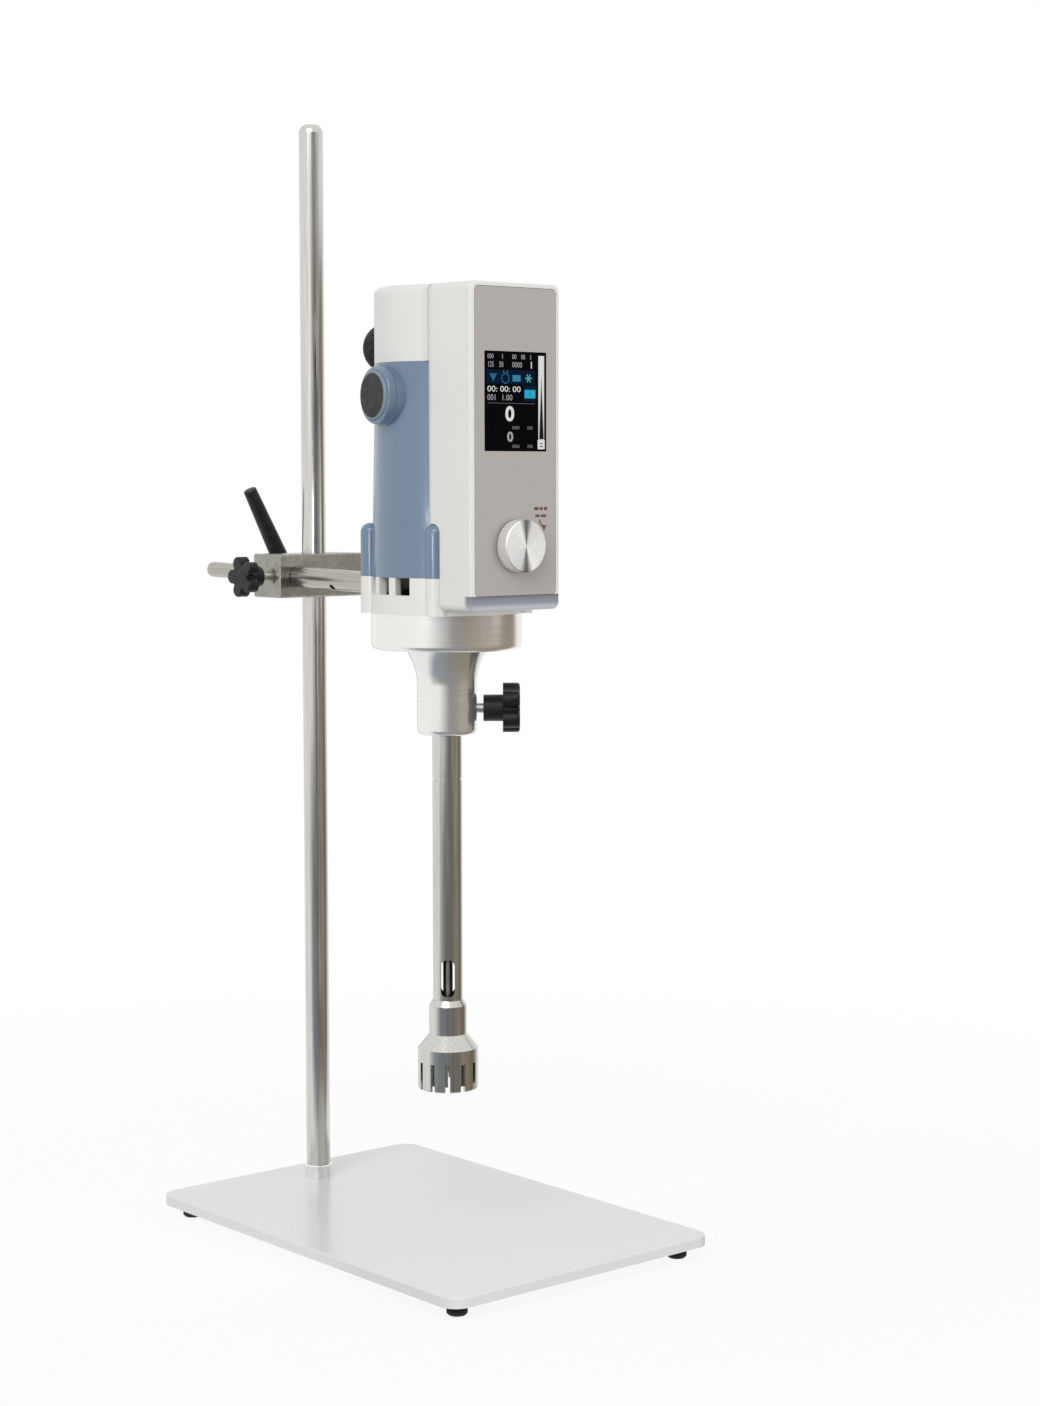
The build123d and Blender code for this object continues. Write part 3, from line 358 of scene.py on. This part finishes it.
head_axis = (head_x, head_y, 0)
knob_axis = (head_x, 0, knob_z)
looks = {
    "white_enamel": enamel("white enamel", (0.785, 0.785, 0.79), peel=0.0, mottle=0.004),
    "light_grey_enamel": enamel("light grey enamel", (0.76, 0.755, 0.72), 0.35, coat=0.2),
    "blue_enamel": enamel("grey-blue enamel", (0.14, 0.205, 0.3), 0.25, coat=0.5, mottle=0.05),
    "white_moulding": enamel("white moulding", (0.73, 0.73, 0.7), 0.35, coat=0.15),
    "warm_grey_panel": enamel("warm grey panel", (0.44, 0.41, 0.385), 0.45, coat=0.0, sheen=0.1),
    "screen_glass": enamel("display glass", (0.002, 0.002, 0.003), 0.1, coat=0.0, peel=0.0,
                           sheen=0.04),
    "black_rubber": moulded("black rubber", (0.012, 0.012, 0.013), 0.7, grain=900),
    "red_rubber": moulded("red rubber", (0.4, 0.03, 0.02), 0.6),
    "black_plastic": moulded("black plastic", (0.009, 0.009, 0.01), 0.4),
    "fan_plastic": moulded("fan plastic", (0.03, 0.03, 0.03)),
    "white_plastic": moulded("white bush plastic", (0.6, 0.6, 0.58), 0.4),
    "board_green": moulded("circuit board", (0.01, 0.09, 0.04), 0.4),
    "graphite": moulded("pressed carbon", (0.02, 0.02, 0.02), 0.55),
    "stainless_bright": drawn_metal("bright stainless steel", (0.62, 0.61, 0.575), 0.18),
    "stainless_satin": drawn_metal("satin stainless steel", (0.44, 0.42, 0.38), 0.24,
                                   stretch=(900, 14, 900)),
    "nickel_plated": plain_metal("nickel plate", (0.32, 0.315, 0.28), 0.25),
    "zinc_steel": plain_metal("zinc plate", (0.6, 0.6, 0.57), 0.35),
    "cast_aluminium": plain_metal("cast aluminium", (0.6, 0.6, 0.6), 0.5, 150, depth=0.00005),
    "electrical_steel": plain_metal("stacked sheet steel", (0.25, 0.25, 0.26), 0.5),
    "copper_wire": plain_metal("enamelled copper", (0.6, 0.25, 0.12), 0.35),
    "brass_parts": plain_metal("brass", (0.7, 0.5, 0.22), 0.3),
    "turned_aluminium": turned_metal("turned aluminium", (0.84, 0.83, 0.81), 0.16, head_axis,
                                     depth=0.000001, tones=0.025, grain=0.15, metallic=0.85),
}

# Painted shade on the lip of the control box: its shade tones go from the lower edge up to the
# panel, and it reaches this far back from the box's front.
lip_shade_reach = 0.003
lip_shade_tones = [(0.0, (0.6, 0.62, 0.65)), (0.6, (0.22, 0.25, 0.3)), (1.0, (0.15, 0.15, 0.15))]
painted_shade_lip(looks["white_moulding"], housing_low[2], panel_low[2], housing_low[1] + lip_shade_reach,
          lip_shade_tones)

# The brush caps have a grey-blue rim round a black face, on an axis across the head.
cap_bearing = radians(173.5)
cap_face_radius = 0.0134
cap_look = moulded("brush cap", (0.009, 0.009, 0.01), 0.4)
outer_ring(cap_look, (head_x, head_y, brush_z), (cos(cap_bearing), sin(cap_bearing), 0),
           cap_face_radius, (0.2, 0.25, 0.31))

# The control knob's turned face has painted reflection in bright and dull sectors, and a plain
# side.
knob_look = turned_metal("turned knob", (0.86, 0.86, 0.86), 0.25, knob_axis, (0, 1, 0), 0.0006,
                         grain=0.7, metallic=0.6)
# Tones of the painted reflection on the knob's face.
white = (0.9, 0.9, 0.9)
pale = (0.7, 0.7, 0.7)
dark = (0.12, 0.12, 0.12)
painted_reflection_sectors(knob_look, knob_axis, [
    (0.0, white), (0.18, white), (0.25, dark), (0.32, pale), (0.5, white), (0.68, white),
    (0.75, dark), (0.82, pale), (1.0, white)])
back_part(knob_look, knob_low[1], (0.93, 0.94, 0.92))

# Painted shade: the tool's tube is coloured dark below its shallow grooves, and so in the windows
# through its wall.
painted_shade_depth = 0.001
tube_look = drawn_metal("tool tube steel", (0.6, 0.6, 0.56), 0.18)
outer_ring(tube_look, head_axis, (0, 0, 1), tube_radius - painted_shade_depth, (0.05, 0.05, 0.045),
           inside=1, outside=0)
inner_steel = plain_metal("ground steel", (0.5, 0.51, 0.47), 0.3)
ferrule_look = plain_metal("polished ferrule", (0.88, 0.88, 0.88), 0.2, tones=0.04)
own_looks = {"control_knob": knob_look, "brush_caps": cap_look, "generator_tube": tube_look,
             "rod_base_collar": ferrule_look, "generator_shaft": inner_steel,
             "rotor_head": inner_steel}

for part in frame["record"]["subparts"]:
    mesh = nodes[part["node"]].data
    mesh.materials.clear()
    mesh.materials.append(looks[part["material_slot"]])
for name, look in own_looks.items():
    nodes[name].data.materials[0] = look


# ---- pieces ----
# Marks stand this far off the surface that carries them, in metres.
screen_lift = 0.00006
panel_lift = 0.00002
mark_lift = 0.0001
top_mark_lift = 0.0002
mark_thickness = 0.00006
# The size of text whose figures are 1 high.
text_size = 1.42
# The gauge's middle line, as a share of the display's width.
gauge_middle = 0.919


def finish_piece(piece, name, look, body):
    """Apply the piece's place to its mesh, give it its look, and seat it on its body."""
    piece.name = name
    bpy.ops.object.select_all(action="DESELECT")
    piece.select_set(True)
    bpy.context.view_layer.objects.active = piece
    bpy.ops.object.transform_apply(location=True, rotation=True, scale=True)
    piece.data.materials.clear()
    piece.data.materials.append(look)
    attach(piece, body)


def join(parts):
    bpy.ops.object.select_all(action="DESELECT")
    for part in parts:
        part.select_set(True)
    bpy.context.view_layer.objects.active = parts[0]
    if len(parts) > 1:
        bpy.ops.object.join()
    return bpy.context.view_layer.objects.active


def on_screen(parts, name, look):
    """Marks of one look on the display, joined to one piece."""
    finish_piece(join(parts), name, look, "head")


def screen_point(across, down):
    """A place on the display: across and down as shares of its width and height."""
    x = screen_low[0] + across * screen_width
    z = screen_high[2] - down * screen_height
    return x, screen_low[1] - screen_lift, z


def panel_point(right, up):
    """A place on the front panel, in metres from the knob's middle."""
    return head_x + right, panel_low[1] - panel_lift, knob_z + up


def digits(text, across, down, height, width=1.0, bold=0.0):
    """Plain figures on the display, standing on the XZ plane."""
    bpy.ops.object.text_add(location=screen_point(across, down), rotation=(pi / 2, 0, 0))
    words = bpy.context.object
    words.data.body = text
    words.data.size = height * text_size
    words.data.align_x = "LEFT"
    words.data.align_y = "CENTER"
    words.data.extrude = mark_thickness / 2
    words.data.offset = bold
    words.data.resolution_u = 4
    words.scale = (width, 1, 1)
    bpy.ops.object.convert(target="MESH")
    return bpy.context.object


def patch(place, width, height, corner=0.0, turn=0.0):
    """A thin flat patch standing on the XZ plane, with rounded corners where asked."""
    bpy.ops.mesh.primitive_cube_add(size=1, location=place, rotation=(0, radians(turn), 0))
    piece = bpy.context.object
    piece.scale = (width, mark_thickness, height)
    bpy.ops.object.transform_apply(location=False, rotation=False, scale=True)
    if corner:
        round_off = piece.modifiers.new("corners", "BEVEL")
        round_off.width = corner
        round_off.segments = 4
        round_off.limit_method = "ANGLE"
        bpy.ops.object.modifier_apply(modifier=round_off.name)
    return piece


def area(left, top, right, bottom, corner=0.0):
    """A patch on the display between shares of its width and height."""
    middle = screen_point((left + right) / 2, (top + bottom) / 2)
    width = (right - left) * screen_width
    height = (bottom - top) * screen_height
    return patch(middle, width, height, corner)


def outline(sides, across, down, radius, thickness, turn):
    """A thin standing ring with flat sides, for signs."""
    bpy.ops.mesh.primitive_torus_add(major_segments=sides, minor_segments=4, major_radius=radius,
                                     minor_radius=thickness, location=screen_point(across, down),
                                     rotation=(pi / 2, radians(turn), 0))
    piece = bpy.context.object
    piece.scale = (1, 1, 0.3)
    return piece


def triangle(place, radius, turn=0.0, width=1.0):
    """A thin flat triangle, standing on the XZ plane."""
    bpy.ops.mesh.primitive_cylinder_add(vertices=3, radius=radius, depth=mark_thickness,
                                        location=place, rotation=(pi / 2, radians(turn), 0))
    piece = bpy.context.object
    piece.scale = (width, 1, 1)
    return piece


def wedge(top, bottom, share):
    """A narrow upright wedge on the gauge, with its foot as a share of the display's width."""
    radius = (bottom - top) * screen_height / 1.5
    middle = screen_point(gauge_middle, top + (bottom - top) * 2 / 3)
    return triangle(middle, radius, width=share * screen_width / (radius * 3 ** 0.5))


def nearer(piece, step=mark_lift):
    """Bring a mark a little nearer than the patch that it stands on."""
    piece.location.y -= step
    return piece


white_light = lit("white figures", (0.72, 0.74, 0.72))
dim_light = lit("dim figures", (0.36, 0.37, 0.36))
grey_light = lit("grey figures", (0.2, 0.19, 0.195))
navy_light = lit("deep blue band", (0.0006, 0.008, 0.026), 1.0)
teal_light = lit("teal signs", (0.02, 0.16, 0.24))
blue_light = lit("light blue signs", (0.04, 0.22, 0.38))
green_light = lit("green sign", (0.08, 0.42, 0.36))
cyan_light = lit("cyan key", (0.02, 0.4, 0.62))
mid_light = lit("gauge shade", (0.2, 0.2, 0.2))
dark_mark = lit("dark marks", (0.012, 0.014, 0.016), 0.5)

# Figures on the display: text, place across and down, height in metres, width and boldness.
dim_figures = (
    ("000", 0.05, 0.055, 0.0028, 0.8),
    ("1", 0.27, 0.055, 0.0028),
    ("00", 0.445, 0.055, 0.0028, 0.85),
    ("00", 0.59, 0.055, 0.0028, 0.8),
    ("1", 0.725, 0.055, 0.0028),
    ("125", 0.05, 0.135, 0.0032, 0.72),
    ("50", 0.235, 0.135, 0.0032, 0.75),
    ("0000", 0.445, 0.135, 0.0032, 0.85),
    ("001", 0.045, 0.465, 0.0034),
    ("1.00", 0.27, 0.465, 0.0034, 1.05),
    ("0", 0.365, 0.86, 0.0056, 1.15, 0.00025),
)
white_figures = (
    ("1", 0.72, 0.135, 0.0042, 1.2),
    ("00:", 0.045, 0.38, 0.0034, 1.35),
    ("00:", 0.25, 0.38, 0.0034, 1.35),
    ("00", 0.45, 0.38, 0.0034, 1.35),
    ("0", 0.335, 0.632, 0.0084, 1.15, 0.00035),
)
note_figures = [(text, across, down, 0.0019, 1.05)
                for text, across in (("0000", 0.445), ("000", 0.69))
                for down in (0.765, 0.952)]

on_screen([digits(*figure) for figure in dim_figures], "screen_rows", dim_light)
on_screen([digits(*figure) for figure in white_figures], "screen_speed", white_light)
on_screen([area(0.03, 0.185, 0.82, 0.325), area(0.63, 0.335, 0.83, 0.5)], "screen_band",
          navy_light)
on_screen([nearer(triangle(screen_point(0.14, 0.26), 0.0026, 180)),
           nearer(area(0.08, 0.225, 0.2, 0.235))], "screen_flask_sign", teal_light)
on_screen([nearer(outline(6, 0.335, 0.27, 0.0031, 0.0002, 30)),
           nearer(area(0.3, 0.195, 0.315, 0.215)),
           nearer(area(0.36, 0.195, 0.375, 0.215)),
           nearer(area(0.45, 0.235, 0.58, 0.3, 0.0012))], "screen_blue_signs", blue_light)
on_screen([nearer(patch(screen_point(0.71, 0.265), 0.0052, 0.0008, turn=turn))
           for turn in (0, 60, 120)], "screen_star_sign", green_light)
on_screen([nearer(area(0.645, 0.38, 0.82, 0.465, 0.0014))], "screen_key", cyan_light)
on_screen([nearer(digits("1", 0.71, 0.422, 0.0026), top_mark_lift)], "screen_key_mark", dark_mark)
on_screen([digits(*figure) for figure in note_figures] + [area(0.05, 0.518, 0.81, 0.5215)],
          "screen_notes", grey_light)
on_screen([area(0.872, 0.035, 0.965, 0.885), area(0.86, 0.885, 0.975, 0.978, 0.0006)],
          "screen_gauge", white_light)
on_screen([nearer(wedge(0.22, 0.877, 0.08))], "screen_gauge_shade", mid_light)
on_screen([nearer(wedge(0.36, 0.877, 0.058), top_mark_lift),
           nearer(area(0.9, 0.915, 0.935, 0.925)),
           nearer(area(0.895, 0.945, 0.94, 0.955))], "screen_gauge_marks", dark_mark)

# Printed marks beside the knob: two rows of short bars, and an arrow for the way to turn.
# Each bar: right and up from the knob's middle, width, height and turn.
red_print = enamel("red print", (0.14, 0.04, 0.04), 0.5, coat=0.0)
bars = (
    (0.0161, 0.0219, 0.0034, 0.0018, 0),
    (0.0199, 0.0219, 0.0024, 0.0018, 0),
    (0.0233, 0.0219, 0.0026, 0.0018, 0),
    (0.017, 0.0176, 0.0034, 0.0016, 0),
    (0.0216, 0.0176, 0.004, 0.0016, 0),
    (0.0188, 0.0143, 0.0009, 0.0024, 20),
    (0.0201, 0.0125, 0.0009, 0.0024, -35),
)
marks = [patch(panel_point(right, up), width, height, turn=turn)
         for right, up, width, height, turn in bars]
marks.append(triangle(panel_point(0.0221, 0.0108), 0.0022, 180))
finish_piece(join(marks), "knob_marks", red_print, "head")


# ---- stage, lights and camera ----
def seen_by(tree, first, *others):
    """1 for the given kinds of ray, and 0 for the rest."""
    path = tree.nodes.new("ShaderNodeLightPath")
    seen = path.outputs[first]
    for kind in others:
        seen = worked_out(tree, "MAXIMUM", seen, path.outputs[kind])
    return seen


def studio_floor():
    """A pale floor that fades to plain white away from the machine."""
    fade_start, fade_end = 0.25, 1.0
    glow_share = 0.88
    light_level = 0.55
    bpy.ops.mesh.primitive_plane_add(size=16)
    floor = bpy.context.object
    floor.name = "floor"
    look, tree, shader = new_look("pale floor", (0.93, 0.93, 0.93), 0.6)
    reach = length(tree, object_place(tree))
    far = spread(tree, reach, fade_start, fade_end, glow_share, 1)
    glow = tree.nodes.new("ShaderNodeEmission")
    seen = seen_by(tree, "Is Camera Ray", "Is Glossy Ray")
    tree.links.new(spread(tree, seen, 0, 1, light_level, 1.0), glow.inputs["Strength"])
    mixed = tree.nodes.new("ShaderNodeMixShader")
    tree.links.new(far, mixed.inputs["Fac"])
    tree.links.new(shader.outputs[0], mixed.inputs[1])
    tree.links.new(glow.outputs[0], mixed.inputs[2])
    tree.links.new(mixed.outputs[0], tree.nodes["Material Output"].inputs["Surface"])
    floor.data.materials.append(look)


def studio_room():
    """White where the room itself shows, and a softer level for its light on the machine."""
    light_level = 0.58
    world = bpy.data.worlds.new("studio")
    bpy.context.scene.world = world
    world.use_nodes = True
    tree = world.node_tree
    backdrop = tree.nodes["Background"]
    backdrop.inputs["Color"].default_value = (1, 1, 1, 1)
    seen = seen_by(tree, "Is Camera Ray", "Is Glossy Ray", "Is Transmission Ray")
    tree.links.new(spread(tree, seen, 0, 1, light_level, 1.0), backdrop.inputs["Strength"])


def aimed(thing, target):
    toward = Vector(target) - thing.location
    thing.rotation_euler = toward.to_track_quat("-Z", "Y").to_euler()


def soft_lamp(name, place, target, size, power):
    """A large flat lamp turned to a place. Its power is in watts."""
    bpy.ops.object.light_add(type="AREA", location=place)
    lamp = bpy.context.object
    lamp.name = name
    lamp.data.shape = "RECTANGLE"
    lamp.data.size, lamp.data.size_y = size
    lamp.data.energy = power
    aimed(lamp, target)


def unseen(thing, name):
    """Make a piece of studio card that only reflections show, and give its tree and colour."""
    thing.name = name
    thing.visible_camera = False
    thing.visible_diffuse = False
    thing.visible_shadow = False
    look, tree, shader = new_look(name, (0, 0, 0), 1.0)
    shader.inputs["Specular IOR Level"].default_value = 0
    shader.inputs["Emission Strength"].default_value = 1
    thing.data.materials.append(look)
    return tree, shader.inputs["Emission Color"]


def card(name, degrees_round, distance, width, low, high, colour):
    """An upright studio card at a bearing and a distance from the machine's middle."""
    angle = radians(degrees_round)
    middle = (low + high) / 2
    place = (distance * cos(angle), distance * sin(angle), middle)
    bpy.ops.mesh.primitive_plane_add(size=1, location=place)
    thing = bpy.context.object
    thing.scale = (width, high - low, 1)
    aimed(thing, (0, 0, middle))
    unseen(thing, name)[1].default_value = (*colour, 1)


def ring(name, low, high, tones):
    """Studio card bent round the tool, or lying under it where low is high.

    The tones are for bearings in degrees. They start at 180 and go all the way round.
    """
    place = (head_x, head_y, (low + high) / 2)
    if high > low:
        bpy.ops.mesh.primitive_cylinder_add(vertices=96, radius=1, depth=high - low,
                                            end_fill_type="NOTHING", location=place)
    else:
        bpy.ops.mesh.primitive_circle_add(vertices=96, radius=1, fill_type="NGON",
                                          location=place)
    tree, colour = unseen(bpy.context.object, name)
    stops = [((degrees_round + 180) % 360 / 360, tone) for degrees_round, tone in tones]
    tree.links.new(ramp(tree, bearing(tree, object_place(tree)), stops, "LINEAR"), colour)


# The plain tones of the studio card.
bright = (1.0, 1.0, 1.0)
mid_card = (0.5, 0.5, 0.5)
dark_card = (0.2, 0.2, 0.2)
warm_card = (0.24, 0.2, 0.15)
cool_card = (0.25, 0.3, 0.35)

studio_floor()
studio_room()
soft_lamp("key_lamp", (-1.65, -1.1, 1.5), (-0.02, -0.05, 0.35), (1.4, 1.8), power=26)
soft_lamp("fill_lamp", (0.9, -2.1, 0.4), (-0.02, -0.05, 0.4), (1.2, 1.2), power=12)
card("knob_card", 308, 0.9, 0.3, 0.385, 0.475, (1.15, 1.15, 1.15))
ring("low_ring", 0.0, 0.2, [
    (180, mid_card), (210, dark_card), (270, dark_card), (300, warm_card), (350, warm_card),
    (10, bright), (160, bright), (179.9, mid_card)])
ring("middle_ring", 0.2, 0.72, [
    (180, bright), (200, bright), (240, dark_card), (270, warm_card), (350, warm_card),
    (5, bright), (179.9, bright)])
ring("high_ring", 0.72, 0.95, [
    (180, bright), (210, bright), (250, dark_card), (300, mid_card), (330, bright),
    (179.9, bright)])
ring("floor_disc", 0.003, 0.003, [
    (180, cool_card), (240, dark_card), (300, warm_card), (350, warm_card), (10, bright),
    (150, bright), (179.9, cool_card)])
card("ear_card", 215.6, 0.32, 0.03, 0.425, 0.47, (15, 15, 16))

# The camera's place in metres, its angles in degrees, and its lens in millimetres.
camera_place = (-1.05858, -1.35741, 0.48888)
camera_down, camera_roll, camera_turn = 4.816, 0.06, -40.485
bpy.ops.object.camera_add(location=camera_place)
camera = bpy.context.object
camera.rotation_euler = (radians(90 - camera_down), radians(camera_roll), radians(camera_turn))
camera.data.lens = 68.72
camera.data.sensor_width = 36
bpy.context.scene.camera = camera
bpy.context.scene.view_settings.view_transform = "Standard"
